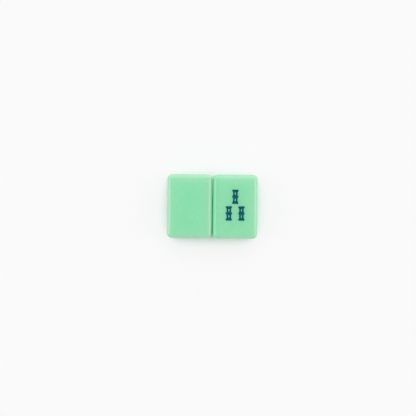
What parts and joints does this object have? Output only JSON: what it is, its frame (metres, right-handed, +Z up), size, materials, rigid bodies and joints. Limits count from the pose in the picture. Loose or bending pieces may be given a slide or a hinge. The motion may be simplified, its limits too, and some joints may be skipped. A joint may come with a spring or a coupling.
{
  "type": "mahjong tile pair",
  "caption": "Two loose mint green mahjong tiles side by side, one face down and one face up with an engraved and painted bamboo face.",
  "frame": {"origin": "on the table, in the middle of the pair of tiles", "axes": "+X from the face-down tile to the face-up tile, +Y towards the top of the faces, +Z up from the table"},
  "size_m": [0.0448, 0.0316, 0.0127],
  "materials": {
    "mint_plastic": "satin",
    "teal_paint": "satin"
  },
  "bodies": {
    "face_down_tile": {"face_down_block": "mint_plastic", "face_down_top_bamboo_paint": "teal_paint", "face_down_left_bamboo_paint": "teal_paint", "face_down_right_bamboo_paint": "teal_paint"},
    "face_up_tile": {"face_up_block": "mint_plastic", "face_up_top_bamboo_paint": "teal_paint", "face_up_left_bamboo_paint": "teal_paint", "face_up_right_bamboo_paint": "teal_paint"}
  },
  "joints": [
    {"name": "face_up_tile_slide", "type": "slide", "parent": "face_down_tile", "child": "face_up_tile", "axis": [1, 0, 0], "range_m": [0, 0.03]}
  ]
}
